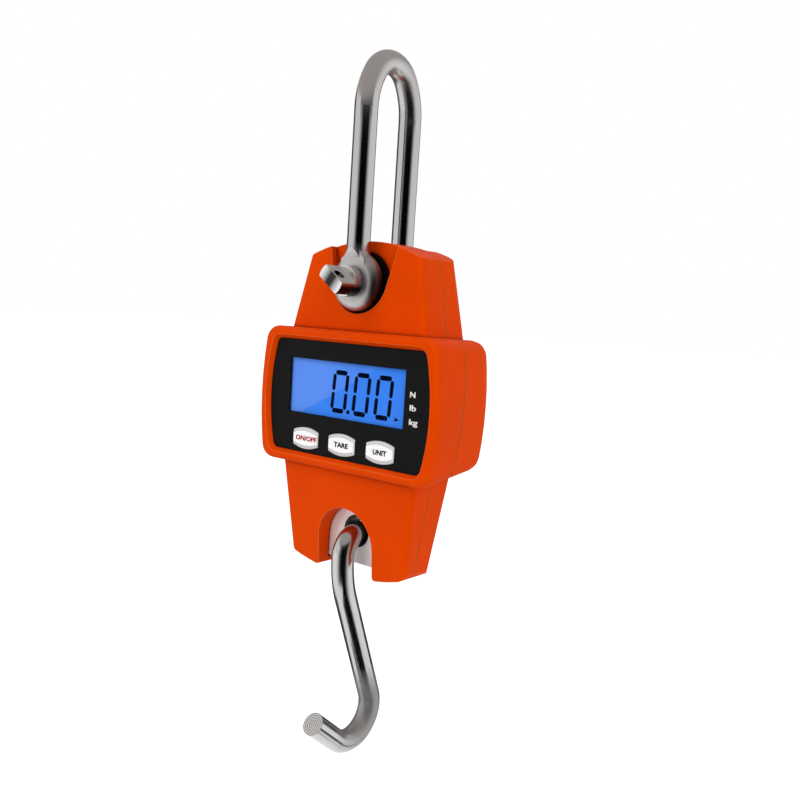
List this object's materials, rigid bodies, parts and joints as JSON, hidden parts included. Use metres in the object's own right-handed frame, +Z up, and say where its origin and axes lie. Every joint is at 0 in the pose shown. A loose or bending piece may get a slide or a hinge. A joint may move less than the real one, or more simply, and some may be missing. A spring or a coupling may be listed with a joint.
{
  "type": "crane scale",
  "caption": "Digital crane scale: a long steel shackle, a moulded orange case with a display and keys on a load cell, and a steel hook below.",
  "frame": {"origin": "inside of the shackle's bow, at its crown, where the scale hangs", "axes": "+Z up, along the line of pull; -Y out of the display; +X to the right of someone who reads the display"},
  "size_m": [0.0816, 0.0424, 0.2484],
  "materials": {
    "polished_steel": "bright plated steel rod",
    "cell_alloy": "satin milled faces",
    "black_plastic": "matt",
    "gauge_foil": "foil on amber film",
    "lead_sheath": "soft cable sheath",
    "orange_case": "satin moulded shell",
    "black_panel": "satin black sheet",
    "clear_window": "clear",
    "blue_lcd": "backlit display",
    "backlight_white": "diffuser",
    "ivory_plastic": "matt",
    "contact_rubber": "matt",
    "board_green": "solder resist",
    "plunger_plastic": "matt",
    "white_key": "satin",
    "screw_steel": "dark zinc",
    "battery_can": "plain label-free can",
    "contact_metal": "plated spring steel"
  },
  "bodies": {
    "shackle": {"shackle": "polished_steel"},
    "pin": {"shackle_pin": "polished_steel"},
    "case": {"load_cell": "cell_alloy", "front_spacer": "black_plastic", "rear_spacer": "black_plastic", "strain_gauges": "gauge_foil", "gauge_lead": "lead_sheath", "front_shell": "orange_case", "rear_shell": "orange_case", "display_panel": "black_panel", "lcd_window": "clear_window", "lcd_glass": "blue_lcd", "lcd_backlight": "backlight_white", "lcd_holder": "ivory_plastic", "contact_strip": "contact_rubber", "circuit_board": "board_green", "board_parts": "black_plastic", "key_switches": "black_plastic", "board_screws": "screw_steel", "case_screws": "screw_steel", "cell_screws": "screw_steel", "battery_upper": "battery_can", "battery_middle": "battery_can", "battery_lower": "battery_can", "battery_springs": "contact_metal", "battery_plates": "contact_metal", "battery_lead": "lead_sheath"},
    "hook": {"hook": "polished_steel"},
    "on_off_key": {"on_off_button": "white_key", "on_off_plunger": "plunger_plastic"},
    "tare_key": {"tare_button": "white_key", "tare_plunger": "plunger_plastic"},
    "unit_key": {"unit_button": "white_key", "unit_plunger": "plunger_plastic"},
    "battery_door": {"battery_cover": "orange_case"}
  },
  "joints": [
    {"name": "pin_turn", "type": "hinge", "parent": "shackle", "child": "pin", "pos_m": [0, 0, -0.0707], "axis": [0, 1, 0], "continuous": true},
    {"name": "case_swing", "type": "hinge", "parent": "shackle", "child": "case", "pos_m": [0, 0, -0.0707], "axis": [0, 1, 0], "range_deg": [-35, 35]},
    {"name": "hook_swing", "type": "hinge", "parent": "case", "child": "hook", "pos_m": [0, 0, -0.15905], "axis": [0, 1, 0], "range_deg": [-30, 30]},
    {"name": "on_off_press", "type": "slide", "parent": "case", "child": "on_off_key", "axis": [0, 1, 0], "range_m": [0, 0.0006], "stiffness_N_per_m": 400, "springref_m": -0.0005},
    {"name": "tare_press", "type": "slide", "parent": "case", "child": "tare_key", "axis": [0, 1, 0], "range_m": [0, 0.0006], "stiffness_N_per_m": 400, "springref_m": -0.0005},
    {"name": "unit_press", "type": "slide", "parent": "case", "child": "unit_key", "axis": [0, 1, 0], "range_m": [0, 0.0006], "stiffness_N_per_m": 400, "springref_m": -0.0005},
    {"name": "cover_swing", "type": "hinge", "parent": "case", "child": "battery_door", "pos_m": [-0.02825, 0.0179, -0.11], "axis": [0, 0, 1], "range_deg": [0, 75]}
  ]
}
